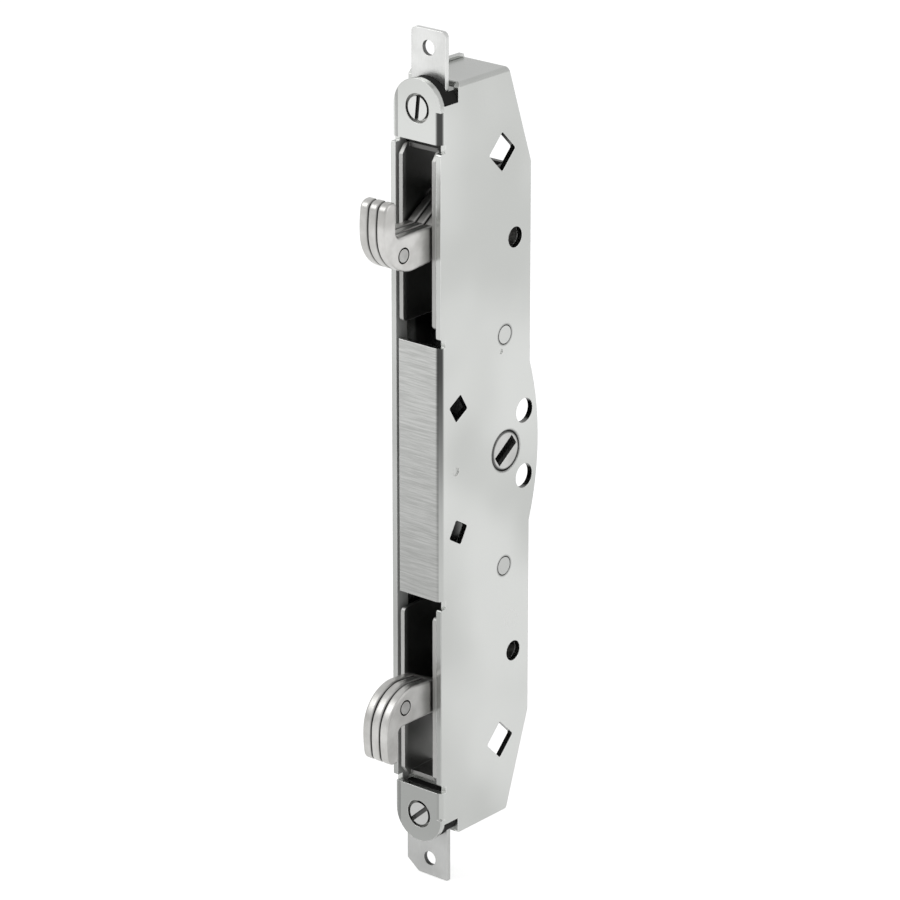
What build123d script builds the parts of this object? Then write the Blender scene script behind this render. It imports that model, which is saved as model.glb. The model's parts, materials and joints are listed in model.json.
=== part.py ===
# Two-point mortise door lock: a folded steel case with a laminated hook bolt at each end,
# a hub with a slanted keyway, two drive bars and two adjustable mounting tabs.
# Millimetres. X runs across the case, Y from the front to the rear, Z up.
# Pieces are drawn with Y counted from the front web's face, then set back so that the
# origin lies on the front face of the mounting tabs, midway between their screw holes.
# Heights are a chain of rises outward from the hub, the same above and below it.
import os
from math import asin, atan2, cos, hypot, radians, sin, tan

from build123d import *

# Rises, outward from the hub
web_half_length = 41.2
rivet_height = 38.1
post_rise = 30.15
pivot_rise = 13.75
window_rise = 22.9
screw_rise = 10.1
case_end_rise = 7.5
lower_window_rise = 1.0

# Case: one folded sheet and a flat cover plate
case_width = 18.3
case_depth = 42.5
sheet = 1.9
bend_radius = 2.3
bulge_rise = 4.2
bulge_half_height = 26.4
rear_corner_run = 10.8
rear_corner_drop = 31.8
window_relief = 2.6
lip_corner_radius = 0.9
notch_rise = 1.7
notch_depth = 8.2
notch_chamfer = 1.4
flange_front = 9.4
flange_bend_radius = 1.5
web_left_margin = 1.65
seam_gap = 0.25
mark_depth = 0.4
cut_overrun = 1.0
cover_thickness = 1.85
cover_reach = 1.2
cover_rim = 1.0
cover_front_drop = 1.9
cover_front_setback = 2.1

# Holes in the side plates
diamond_side = 8.9
diamond_corner_radius = 0.6
diamond_rear_margin = 13.7
diamond_drop = 25.8
small_diamond_side = 6.3
small_diamond_setback = 8.3
small_diamond_height = 20.2
small_diamond_turn = 31.0
trim_hole_radius = 4.0
trim_hole_rear_margin = 2.5
trim_hole_height = 10.8
dimple_radius = 1.4
dimple_setback = 7.2
pip_radius = 0.8
pip_rear_margin = 13.8
pip_height = 33.1

# Handle posts and case rivets
handle_bore_radius = 3.3
handle_rear_margin = 7.4
post_core_radius = 4.3
post_collar_radius = 5.5
post_neck_radius = 4.2
rivet_rear_margin = 12.1
rivet_core_radius = 2.5
rivet_collar_radius = 4.3
rivet_neck_radius = 2.85
rivet_ring_gap = 0.3

# Ends: round web, plastic block, adjusting screw and mounting tab
screw_slot_width = 1.4
screw_slot_depth = 1.2
screw_head_radius = 3.7
screw_ring_gap = 0.9
screw_head_sink = 0.1
screw_flange_radius = 5.2
screw_flange_thickness = 1.0
screw_shank_radius = 2.5
screw_length = 14.0
screw_tip_chamfer = 0.6
upper_slot_turn = 84.0
lower_slot_turn = 42.0
tab_setback = 5.2
tab_thickness = 1.6
tab_reach = 23.1
tab_tail = 8.0
tab_hole_margin = 5.7
tab_hole_radius = 2.4
tab_corner_radius = 1.8
tab_half_width = 6.6
tab_shoulder_rise = 3.5
tab_clip_run = 4.6
tab_clip_drop = 3.5
block_tail = 9.0
block_margin = 0.2
block_cheek_depth = 8.1

# Hub and keyway
hub_rear_margin = 11.4
hub_journal_radius = 6.4
hub_body_radius = 7.2
hub_core_half_width = 4.0
hub_core_half_length = 6.6
hub_chamfer = 0.45
keyway_width = 4.0
keyway_length = 10.0
keyway_turn = 35.0
hub_pin_throw = 10.0
hub_pin_radius = 1.6
hub_arm_end_radius = 3.2
hub_rest_angle = 45.0
hub_arm_thickness = 3.05

# Hook housings
housing_sheet = 1.4
housing_case_gap = 0.1
housing_inner_gap = 5.6
housing_end_margin = 2.0
housing_flange_depth = 13.0
housing_flange_recess = 3.2
housing_corner_run = 2.4
housing_corner_drop = 3.2
housing_bend_radius = 1.2
housing_step_setback = 19.0
housing_step_rise = 9.5
housing_rear_margin = 2.2
housing_bridge_margin = 8.9
housing_bridge_depth = 1.6
housing_foot_margin = 4.6
housing_corner_radius = 1.6

# Hooks: rises, drops and reaches are counted from the pivot
hook_plate_thickness = 3.45
pivot_rear_margin = 26.5
hook_radius = 36.9
hook_tip_rise = 8.6
hook_tip_thickness = 5.4
hook_throat_radius = 2.0
hook_throat_drop = 2.8
hook_belly_drop = 14.0
hook_belly_slope = 5.0
hook_nose_radius = 13.0
hook_nose_share = 0.65
hook_tip_outer_radius = 3.0
hook_tip_inner_radius = 1.2
hook_ramp_setback = 1.0
hook_lobe_radius = 6.0
hook_edge_radius = 0.9
hook_rest_angle = 40.0
crank_throw = 11.0
crank_pin_radius = 1.6
crank_lobe_radius = 3.4
hook_rivet_radius = 2.05
hook_rivet_ring_gap = 0.5
hook_rivet_margin = 8.7
hook_rivet_drop = 8.8
rear_rivet_reach = 11.5
rear_rivet_drop = 6.8
pivot_pin_radius = 2.5
washer_radius = 5.5

# Drive bars
bar_thickness = 3.2
bar_hub_clearance = 0.35
bar_crank_clearance = 0.28
bar_prong = 1.7
bar_prong_reach = 5.15
bar_core_clearance = 0.4
bar_outer_wall = 1.6
bar_slot_clearance = 0.2
bar_slot_end_clearance = 0.3
bar_front_wall = 2.8
bar_post_front_wall = 3.5
bar_post_rear_wall = 2.4
bar_end_wall = 2.4

# Clearances
running_clearance = 0.06
snug_clearance = 0.03
side_clearance = 0.05
stack_clearance = 0.025

# Heights worked out from the rises
handle_height = rivet_height + post_rise
hook_pivot_height = handle_height + pivot_rise
window_outer = hook_pivot_height + window_rise
screw_height = window_outer + screw_rise
half_height = screw_height + case_end_rise
notch_height = screw_height + notch_rise
rear_corner_height = half_height - rear_corner_drop
diamond_height = half_height - diamond_drop
housing_inner_height = web_half_length + housing_inner_gap
housing_step_height = hook_pivot_height + housing_step_rise
tab_end_height = screw_height + tab_reach
tab_inner_height = screw_height - tab_tail
tab_hole_height = tab_end_height - tab_hole_margin
tab_shoulder_height = screw_height + tab_shoulder_rise
block_inner_height = screw_height - block_tail
hook_tip_height = hook_pivot_height + hook_tip_rise
hook_shank_top = hook_pivot_height - hook_throat_drop
hook_shank_bottom = hook_pivot_height - hook_belly_drop
hook_rivet_height = hook_pivot_height - hook_rivet_drop
rear_rivet_height = hook_pivot_height - rear_rivet_drop

# Setbacks worked out from the case's depth, since the works sit against its rear edge
hub_setback = case_depth - hub_rear_margin
handle_setback = case_depth - handle_rear_margin
rivet_setback = case_depth - rivet_rear_margin
trim_hole_setback = case_depth - trim_hole_rear_margin
diamond_setback = case_depth - diamond_rear_margin
pip_setback = case_depth - pip_rear_margin
housing_rear_setback = case_depth - housing_rear_margin
housing_bridge_front = case_depth - housing_bridge_margin
hook_pivot_setback = case_depth - pivot_rear_margin
hook_front = hook_pivot_setback - hook_radius
hook_throat_setback = hook_front + hook_tip_thickness
hook_rivet_setback = hook_front + hook_rivet_margin
rear_rivet_setback = hook_pivot_setback - rear_rivet_reach

# Other sizes worked out from the driving ones
half_width = case_width / 2
inner_half_width = half_width - sheet
cover_outer = half_width + cover_reach
cover_inner = cover_outer - cover_thickness
flange_left = cover_inner - seam_gap
web_left = half_width - web_left_margin
flange_rear = case_depth - rear_corner_run
housing_half_width = inner_half_width - housing_case_gap
housing_inner_half = housing_half_width - housing_sheet
stack_half = hook_plate_thickness * 3 / 2
centre_half = hook_plate_thickness / 2
collar_inner = centre_half + stack_clearance
bar_travel = 2 * hub_pin_throw * sin(radians(hub_rest_angle))
crank_check = 2 * crank_throw * sin(radians(hook_rest_angle))

sides = (("upper", 1), ("lower", -1))


def across(sketch, low, high):
    """A plate drawn in Y and Z, from X = low to X = high."""
    return extrude(Plane.YZ.offset(low) * sketch, high - low, dir=(1, 0, 0))


def facing(sketch, near, far):
    """A plate drawn in X and Z, from Y = near to Y = far."""
    return extrude(Plane.XZ.offset(-far) * sketch, far - near, dir=(0, -1, 0))


def rod(radius, y, z, low, high):
    """A round rod along X."""
    return across(Pos(y, z) * Circle(radius), low, high)


def slab(x_range, y_range, z_range):
    """A box from its three ranges."""
    lows = [min(pair) for pair in (x_range, y_range, z_range)]
    highs = [max(pair) for pair in (x_range, y_range, z_range)]
    lengths = [high - low for low, high in zip(lows, highs)]
    return Pos(*lows) * Box(*lengths, align=(Align.MIN, Align.MIN, Align.MIN))


def upward(shape):
    """The same flat shape with its face turned up, so that shapes join cleanly."""
    face = shape.face()
    return Sketch() + (face if face.normal_at().Z > 0 else -face)


def outline_of(*points):
    """A flat shape with straight sides through some points."""
    return upward(Polygon(*points, align=None))


def hull(*shapes):
    """The convex outline around some flat shapes."""
    edges = [edge for shape in shapes for edge in shape.edges()]
    return upward(make_hull(edges))


def round_corner(sketch, corner, radius):
    """Round the corner of a flat outline that lies nearest to a point."""
    vertex = sketch.vertices().sort_by_distance((corner[0], corner[1], 0))[0]
    return fillet(vertex, radius)


def flip(shape, sign):
    """The shape itself for the upper end, or its mirror image for the lower end."""
    return shape if sign > 0 else mirror(shape, about=Plane.XY)


def save(name, *solids):
    """Write one piece, set back to the part's own origin."""
    placed = [Pos(0, -tab_setback, 0) * solid for solid in solids]
    shape = placed[0] if len(placed) == 1 else Compound(children=placed)
    export_step(shape, f"parts/{name}.step")


# Case shell


def window_end(sign):
    """The height at which the upper or lower hook window ends."""
    return window_outer if sign > 0 else window_outer + lower_window_rise


def side_outline(end_height):
    """One side plate's outline in Y and Z, with its rear bulge and front notches."""
    upper = [
        (0, notch_height),
        (notch_depth, notch_height),
        (notch_depth, end_height - notch_chamfer),
        (notch_depth + notch_chamfer, end_height),
        (flange_rear, end_height),
        (case_depth, rear_corner_height),
        (case_depth, bulge_half_height),
    ]
    lower = [(y, -z) for y, z in upper]
    lines = Polyline(*reversed(lower), *upper)
    bulge = ThreePointArc(upper[-1], (case_depth + bulge_rise, 0), lower[-1])
    return upward(make_face(lines.edges() + [bulge]))


def end_disc(sign):
    """The round end of the front web, past the adjusting screw."""
    disc = Pos(0, sign * screw_height) * Circle(half_width)
    keep = Pos(0, sign * (screw_height + half_width)) * Rectangle(case_width, case_width)
    neck = box_outline((-half_width, 0), (sign * window_end(sign), sign * screw_height))
    return facing((disc & keep) + neck, 0, sheet)


def side_holes():
    """Every hole that goes through both side plates, as one flat sketch."""
    holes = Pos(hub_setback, 0) * Circle(hub_journal_radius + running_clearance)
    for _, sign in sides:
        holes += Pos(handle_setback, sign * handle_height) * Circle(handle_bore_radius)
        holes += Pos(rivet_setback, sign * rivet_height) * Circle(rivet_neck_radius + rivet_ring_gap)
        holes += Pos(trim_hole_setback, sign * trim_hole_height) * Circle(trim_hole_radius)
        diamond = Rot(0, 0, 45) * RectangleRounded(diamond_side, diamond_side, diamond_corner_radius)
        holes += Pos(diamond_setback, sign * diamond_height) * diamond
        square = RectangleRounded(small_diamond_side, small_diamond_side, diamond_corner_radius)
        turned = Rot(0, 0, sign * small_diamond_turn) * square
        holes += Pos(small_diamond_setback, sign * small_diamond_height) * turned
    return holes


def side_marks():
    """The shallow dimple and pip pressed into the outside of a side plate, as one flat sketch."""
    return Pos(dimple_setback, 0) * Circle(dimple_radius) + Pos(pip_setback, pip_height) * Circle(pip_radius)


def case_window(shell, sign):
    """Cut one hook window and square off the side plate's edge beside it."""
    outer = window_end(sign)
    heights = (sign * web_half_length, sign * outer)
    wide = (-half_width - cut_overrun, half_width + cut_overrun)
    shell -= slab(wide, (-cut_overrun, bend_radius), heights)
    lip_heights = (sign * (web_half_length + window_relief), sign * (outer - window_relief))
    lip = slab((inner_half_width, half_width), (0, bend_radius + sheet), lip_heights)
    front_corners = lip.edges().filter_by(Axis.X).group_by(Axis.Y)[0]
    return shell + fillet(front_corners, lip_corner_radius)


def hub_rim(near, far):
    """The small bevel around the hub's hole in a side plate."""
    return rod(hub_journal_radius + running_clearance + hub_chamfer, hub_setback, 0, near, far)


def case_shell():
    """The folded sheet: right side plate, web, round ends and top and bottom flanges."""
    shell = across(side_outline(half_height), -flange_left, half_width)
    front_right = shell.edges().filter_by(Axis.Z).group_by(Axis.Y)[0].group_by(Axis.X)[-1]
    shell = fillet(front_right, bend_radius)
    right_edges = shell.edges().filter_by(Axis.Y).group_by(Axis.X)[-1]
    flange_bends = [edge for edge in right_edges if abs(edge.center().Z) > notch_height]
    shell = fillet(flange_bends, flange_bend_radius)
    rear = case_depth + bulge_rise + cut_overrun
    left = -half_width - cut_overrun
    flange_inside = half_height - sheet
    cavity = slab((left, inner_half_width), (sheet, rear), (-flange_inside, flange_inside))
    inner_right = cavity.edges().filter_by(Axis.Z).group_by(Axis.Y)[0].group_by(Axis.X)[-1]
    shell -= fillet(inner_right, bend_radius - sheet)
    shell -= slab((left, -web_left), (-cut_overrun, sheet), (-web_half_length, web_half_length))
    above = half_height + cut_overrun
    for _, sign in sides:
        ends = (sign * (flange_inside - cut_overrun), sign * above)
        shell -= slab((left, inner_half_width), (sheet, flange_front), ends)
        shell = case_window(shell, sign)
        shell += end_disc(sign)
        screw_hole = Pos(0, sign * screw_height) * Circle(screw_head_radius + screw_ring_gap)
        shell -= facing(screw_hole, -cut_overrun, sheet + cut_overrun)
    shell -= across(side_holes(), inner_half_width - cut_overrun, half_width + cut_overrun)
    shell -= hub_rim(half_width - hub_chamfer / 2, half_width + cut_overrun)
    return shell - across(side_marks(), half_width - mark_depth, half_width + cut_overrun)


def case_cover():
    """The flat left side plate, which stands a little clear of the round web ends."""
    cover = across(side_outline(half_height + cover_rim), -cover_outer, -cover_inner)
    wide = (-cover_outer - cut_overrun, -cover_inner + cut_overrun)
    for _, sign in sides:
        start = window_end(sign) - cover_front_drop
        step = (sign * start, sign * (notch_height + cut_overrun))
        cover -= slab(wide, (-cut_overrun, cover_front_setback), step)
    cover -= across(side_holes(), *wide)
    cover -= hub_rim(-cover_outer - cut_overrun, -cover_outer + hub_chamfer / 2)
    return cover - across(side_marks(), -cover_outer - cut_overrun, -cover_outer + mark_depth)


# Hook housings


def housing_outline(outer_height):
    """One housing wall's outline in Y and Z, for the upper end."""
    foot_low = rivet_height - housing_foot_margin
    foot_front = rivet_setback - housing_foot_margin
    foot_rear = rivet_setback + housing_foot_margin
    post_low = handle_height - post_collar_radius - housing_sheet
    outline = outline_of(
        (0, housing_inner_height),
        (0, outer_height - housing_corner_drop),
        (housing_corner_run, outer_height),
        (housing_flange_depth, outer_height),
        (housing_step_setback, housing_step_height),
        (housing_rear_setback, housing_step_height),
        (housing_rear_setback, post_low),
        (foot_rear, foot_low),
        (foot_front, foot_low),
        (foot_front, housing_inner_height),
    )
    outline = round_corner(outline, (0, housing_inner_height), housing_corner_radius)
    outline = round_corner(outline, (foot_rear, foot_low), housing_corner_radius)
    return round_corner(outline, (foot_front, foot_low), housing_corner_radius)


def hook_housing(sign):
    """The folded liner that carries one hook, drawn for the upper end."""
    outer_height = window_end(sign) - housing_end_margin
    body = across(housing_outline(outer_height), -housing_half_width, housing_half_width)
    along = body.edges().filter_by(Axis.Y)
    folds = [edge for edge in along if edge.center().Z > housing_step_height - housing_sheet]
    body = fillet(folds, housing_bend_radius)
    rear = housing_rear_setback + cut_overrun
    inside = (-housing_inner_half, housing_inner_half)
    under_flange = outer_height - housing_sheet
    hollow = slab(inside, (-cut_overrun, rear), (0, under_flange))
    hollow += slab(inside, (-cut_overrun, housing_flange_recess), (0, outer_height + cut_overrun))
    under_step = housing_step_height - housing_sheet
    bridge_rear = housing_bridge_front + housing_bridge_depth
    bridge = slab(inside, (housing_bridge_front, bridge_rear), (under_step, housing_step_height))
    body -= hollow - bridge
    holes = Pos(hook_pivot_setback, hook_pivot_height) * Circle(pivot_pin_radius + snug_clearance)
    holes += Pos(handle_setback, handle_height) * Circle(post_neck_radius + snug_clearance)
    holes += Pos(rivet_setback, rivet_height) * Circle(rivet_neck_radius + snug_clearance)
    return body - across(holes, -half_width, half_width)


def collared(core, collar, neck, y, z, neck_end):
    """A turned spacer: a core for the bar's slot, a collar each side and a neck at each end."""
    collar_end = housing_inner_half - snug_clearance
    spacer = rod(core, y, z, -collar_end, collar_end)
    spacer += rod(neck, y, z, -neck_end[0], neck_end[1])
    ring = rod(collar, y, z, collar_inner, collar_end)
    spacer += ring + mirror(ring, about=Plane.YZ)
    return spacer


def case_rivet():
    """A rivet whose fat ends show flush in both side plates."""
    ends = (cover_outer, half_width)
    spacer = collared(rivet_core_radius, rivet_collar_radius, rivet_core_radius, rivet_setback, rivet_height, ends)
    start = housing_inner_half - snug_clearance
    spacer += rod(rivet_neck_radius, rivet_setback, rivet_height, start, half_width)
    return spacer + rod(rivet_neck_radius, rivet_setback, rivet_height, -cover_outer, -start)


def handle_post():
    ends = (cover_inner - snug_clearance, inner_half_width - snug_clearance)
    post = collared(post_core_radius, post_collar_radius, post_neck_radius, handle_setback, handle_height, ends)
    return post - rod(handle_bore_radius, handle_setback, handle_height, -cover_outer, half_width)


# Hooks


def tangent_point(point, centre, radius, side):
    """Where a line from a point touches a circle, above it (side 1) or below it (side -1)."""
    dy = centre[0] - point[0]
    dz = centre[1] - point[1]
    distance = hypot(dy, dz)
    direction = atan2(dz, dy) + side * asin(radius / distance)
    reach = (distance**2 - radius**2) ** 0.5
    return (point[0] + reach * cos(direction), point[1] + reach * sin(direction))


def hook_blank():
    """The outline that all three plates of a hook share, for the upper end."""
    pivot = (hook_pivot_setback, hook_pivot_height)
    disc = Pos(*pivot) * Circle(hook_radius)
    front = hook_front - cut_overrun
    belly_front = hook_shank_bottom + front * tan(radians(hook_belly_slope))
    bent = outline_of(
        (front, hook_tip_height),
        (hook_throat_setback, hook_tip_height),
        (hook_throat_setback, hook_shank_top),
        (hook_ramp_setback, hook_shank_top),
        (0, hook_shank_bottom),
        (front, belly_front),
    )
    head = disc & bent
    nose_radius = min(hook_nose_radius, hook_nose_share * -hook_front)
    head = round_corner(head, (hook_front, belly_front), nose_radius)
    head = round_corner(head, (hook_throat_setback, hook_shank_top), hook_throat_radius)
    head = round_corner(head, (hook_throat_setback, hook_tip_height), hook_tip_inner_radius)
    head = round_corner(head, (front, hook_tip_height), hook_tip_outer_radius)
    ramp_start = (hook_ramp_setback, hook_shank_top)
    belly_end = (0, hook_shank_bottom)
    shank = outline_of(
        ramp_start,
        tangent_point(ramp_start, pivot, hook_lobe_radius, 1),
        pivot,
        tangent_point(belly_end, pivot, hook_lobe_radius, -1),
        belly_end,
    )
    return head + shank + Pos(*pivot) * Circle(hook_lobe_radius)


def crank_place():
    """The crank pin's place at rest, in Y and Z."""
    y = hook_pivot_setback + crank_throw * cos(radians(hook_rest_angle))
    z = hook_pivot_height - crank_throw * sin(radians(hook_rest_angle))
    return (y, z)


def hook_holes():
    holes = Pos(hook_pivot_setback, hook_pivot_height) * Circle(pivot_pin_radius + running_clearance)
    ring = hook_rivet_radius + hook_rivet_ring_gap
    holes += Pos(hook_rivet_setback, hook_rivet_height) * Circle(ring)
    return holes + Pos(rear_rivet_setback, rear_rivet_height) * Circle(ring)


def hook_plate(low, high, with_crank):
    """One plate of a hook, with the outline's edges rounded, for the upper end."""
    outline = hook_blank()
    if with_crank:
        lobe = Pos(*crank_place()) * Circle(crank_lobe_radius)
        boss = Pos(hook_pivot_setback, hook_pivot_height) * Circle(hook_lobe_radius)
        outline += hull(lobe, boss)
    plate = across(outline, low, high)
    rims = plate.edges().group_by(Axis.X)
    plate = fillet(rims[0] + rims[-1], hook_edge_radius)
    holes = hook_holes()
    if with_crank:
        holes += Pos(*crank_place()) * Circle(crank_pin_radius + snug_clearance)
    return plate - across(holes, -half_width, half_width)


def hook_rivets():
    front = rod(hook_rivet_radius, hook_rivet_setback, hook_rivet_height, -stack_half, stack_half)
    rear = rod(hook_rivet_radius, rear_rivet_setback, rear_rivet_height, -stack_half, stack_half)
    return front, rear


def crank_pin():
    end = stack_half - side_clearance
    return rod(crank_pin_radius, *crank_place(), -end, end)


def pivot_pin():
    left = cover_inner - snug_clearance
    right = inner_half_width - snug_clearance
    return rod(pivot_pin_radius, hook_pivot_setback, hook_pivot_height, -left, right)


def pivot_washers():
    """The two thin washers that keep a hook in the middle of its housing."""
    ring = Circle(washer_radius) - Circle(pivot_pin_radius + running_clearance)
    near = stack_half + side_clearance
    far = housing_inner_half - side_clearance
    washer = across(Pos(hook_pivot_setback, hook_pivot_height) * ring, near, far)
    return washer, mirror(washer, about=Plane.YZ)


# Drive bars


def drive_bar(side):
    """A bar for the upper end: side 1 is driven by the hub's rear pin, side -1 by its front pin."""
    pin_y = hub_pin_throw * cos(radians(hub_rest_angle))
    pin_z = -hub_pin_throw * sin(radians(hub_rest_angle))
    slot_half = hub_pin_radius + bar_hub_clearance
    head_half = slot_half + bar_prong
    slot_end = hub_pin_throw + slot_half
    head_end = slot_end + bar_outer_wall
    neck = hub_core_half_length + bar_core_clearance
    crank_y, crank_z = crank_place()
    notch_half = crank_pin_radius + bar_crank_clearance
    notch_end = hook_pivot_setback + crank_throw + notch_half
    arm_half = notch_half + bar_prong
    arm_front = crank_y - crank_pin_radius - bar_slot_clearance * 2
    rivet_half = rivet_core_radius + bar_slot_clearance
    body_front = rivet_setback - rivet_half - bar_front_wall
    body_rear = rivet_setback + rivet_half + bar_front_wall + bar_slot_clearance * 3
    post_half = post_core_radius + bar_slot_clearance
    upper_front = handle_setback - post_half - bar_post_front_wall
    upper_rear = handle_setback + post_half + bar_post_rear_wall
    post_top = handle_height + post_half + bar_slot_end_clearance
    post_low = handle_height - bar_travel - post_half - bar_slot_end_clearance
    shoulder_low = head_half - pin_z + bar_prong
    shoulder_high = shoulder_low + bar_end_wall * 2
    waist_low = rivet_height - bar_travel
    waist_high = rivet_height - bar_end_wall * 2
    flare_low = rivet_height + rivet_half + bar_end_wall
    outline = outline_of(
        (body_front, shoulder_low),
        (body_front, waist_high - bar_end_wall / 2),
        (upper_front, post_low - bar_end_wall * 2),
        (upper_front, crank_z - arm_half),
        (arm_front, crank_z - arm_half),
        (arm_front, crank_z + arm_half),
        (housing_bridge_front - bar_slot_clearance * 3, crank_z + arm_half),
        (housing_bridge_front - bar_slot_clearance * 3, post_top + bar_end_wall),
        (upper_rear, post_top + bar_end_wall),
        (upper_rear, post_low),
        (body_rear, flare_low),
        (body_rear, waist_low),
        (body_rear, shoulder_low),
    )
    edge = hub_setback + side * head_end
    inner = hub_setback + side * neck
    prong = hub_setback + side * bar_prong_reach
    outline += box_outline((prong, edge), (pin_z - head_half, pin_z + head_half))
    outline += box_outline((inner, edge), (pin_z - head_half, neck + bar_prong))
    far = body_front if side > 0 else body_rear
    outline += outline_of(
        (inner, neck + bar_core_clearance),
        (edge, bar_core_clearance),
        (edge - side * bar_post_rear_wall, shoulder_high),
        (far, shoulder_high),
        (far, shoulder_low),
        (inner, shoulder_low),
    )
    pin_slot = box_outline(
        (prong - side * cut_overrun, hub_setback + side * slot_end), (pin_z - slot_half, pin_z + slot_half)
    )
    crank_slot = box_outline((arm_front - cut_overrun, notch_end), (crank_z - notch_half, crank_z + notch_half))
    rivet_slot = upright_slot(rivet_setback, rivet_half, rivet_height)
    post_slot = upright_slot(handle_setback, post_half, handle_height)
    outline = outline - pin_slot - crank_slot - rivet_slot - post_slot
    return across(outline, -bar_thickness / 2, bar_thickness / 2)


def box_outline(y_range, z_range):
    """A flat rectangle from its two ranges."""
    width = abs(y_range[1] - y_range[0])
    height = abs(z_range[1] - z_range[0])
    return Pos(min(y_range), min(z_range)) * Rectangle(width, height, align=(Align.MIN, Align.MIN))


def upright_slot(y, half, height):
    """A slot that lets a bar travel past a round post at one height."""
    low = height - bar_travel - bar_slot_end_clearance
    high = height + bar_slot_end_clearance
    slot = box_outline((y - half, y + half), (low, high))
    return slot + Pos(y, low) * Circle(half) + Pos(y, high) * Circle(half)


# Hub


def hub_pin_places():
    """The rear and front drive pins' places at rest, in Y and Z."""
    y = hub_pin_throw * cos(radians(hub_rest_angle))
    z = hub_pin_throw * sin(radians(hub_rest_angle))
    return (hub_setback + y, -z), (hub_setback - y, z)


def hub_journal(near, far):
    """The round end that turns in a side plate, with its outer rim bevelled."""
    journal = rod(hub_journal_radius, hub_setback, 0, near, far)
    return chamfer(journal.edges().group_by(Axis.X)[-1], hub_chamfer)


def hub():
    shoulder = inner_half_width - side_clearance
    arm_low = collar_inner
    arm_high = arm_low + hub_arm_thickness
    centre = Pos(hub_setback, 0)
    straight = 2 * (hub_core_half_length - hub_core_half_width)
    oval = Rot(0, 0, keyway_turn) * SlotCenterToCenter(straight, 2 * hub_core_half_width)
    body = across(centre * oval, -arm_high, arm_high)
    disc = centre * Circle(hub_body_radius)
    arms = disc
    for place in hub_pin_places():
        arms += hull(disc, Pos(*place) * Circle(hub_arm_end_radius))
    for place in hub_pin_places():
        arms -= Pos(*place) * Circle(hub_pin_radius + snug_clearance)
    left_shoulder = cover_inner - side_clearance
    arm_pair = across(arms, arm_low, arm_high)
    body += arm_pair + mirror(arm_pair, about=Plane.YZ)
    body += across(disc, arm_high, shoulder) + across(disc, -left_shoulder, -arm_high)
    body += hub_journal(shoulder, half_width - side_clearance)
    body += mirror(hub_journal(left_shoulder, cover_outer - side_clearance), about=Plane.YZ)
    keyway = Rot(0, 0, keyway_turn) * Rectangle(keyway_length, keyway_width)
    return body - across(centre * keyway, -cover_outer, half_width)


def hub_pin(place):
    end = collar_inner + hub_arm_thickness
    return rod(hub_pin_radius, *place, -end, end)


# Ends


def end_block(sign):
    """The plastic block between the round web end and the tab, drawn for the upper end."""
    slim = inner_half_width - block_margin
    height = notch_height + block_margin - block_inner_height
    low = Pos(0, block_inner_height + height / 2) * Rectangle(2 * slim, height)
    disc = Pos(0, screw_height) * Circle(half_width - block_margin)
    above = notch_height + block_margin + half_width
    outline = low + (disc & Pos(0, above) * Rectangle(case_width, case_width))
    near = sheet + side_clearance
    far = tab_setback - block_margin
    block = facing(outline, near, far)
    cheek = disc & box_outline((inner_half_width, half_width), (notch_height + block_margin, above))
    right_cheek = facing(cheek, near, block_cheek_depth)
    block += right_cheek
    if sign > 0:
        block += mirror(right_cheek, about=Plane.YZ)
    seat = near + screw_flange_thickness + side_clearance * 2
    centre = Pos(0, screw_height)
    block -= facing(centre * Circle(screw_flange_radius + block_margin), near - cut_overrun, seat)
    return block - facing(centre * Circle(screw_shank_radius + block_margin), near, far + cut_overrun)


def adjusting_screw(slot_turn):
    """A slotted screw whose head shows flush in the web, for the upper end."""
    centre = Pos(0, screw_height)
    flange_near = sheet + side_clearance * 2
    flange_far = flange_near + screw_flange_thickness - side_clearance
    screw = facing(centre * Circle(screw_head_radius), screw_head_sink, flange_near)
    screw += facing(centre * Circle(screw_flange_radius), flange_near, flange_far)
    shank = facing(centre * Circle(screw_shank_radius), flange_far, screw_length)
    shank = chamfer(shank.edges().group_by(Axis.Y)[-1], screw_tip_chamfer)
    screw += shank
    slot = Rot(0, 0, slot_turn) * Rectangle(4 * screw_head_radius, screw_slot_width)
    reach = screw_head_sink + screw_slot_depth
    head_zone = facing(centre * Circle(screw_head_radius), -cut_overrun, reach)
    return screw - (facing(centre * slot, -cut_overrun, reach) & head_zone)


def mounting_tab(sign):
    """A tab with its door screw hole and its tapped hole for the adjusting screw."""
    if sign > 0:
        outline = box_outline((-tab_half_width, tab_half_width), (tab_inner_height, tab_end_height))
        outline = round_corner(outline, (-tab_half_width, tab_end_height), tab_corner_radius)
        outline = round_corner(outline, (tab_half_width, tab_end_height), tab_corner_radius)
    else:
        slim = inner_half_width - block_margin / 2
        outline = outline_of(
            (slim, tab_inner_height),
            (slim, tab_end_height),
            (-half_width + tab_clip_run, tab_end_height),
            (-half_width, tab_end_height - tab_clip_drop),
            (-half_width, tab_shoulder_height),
            (-slim, tab_shoulder_height),
            (-slim, tab_inner_height),
        )
    outline -= Pos(0, tab_hole_height) * Circle(tab_hole_radius)
    outline -= Pos(0, screw_height) * Circle(screw_shank_radius + running_clearance)
    return facing(outline, tab_setback, tab_setback + tab_thickness)


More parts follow.
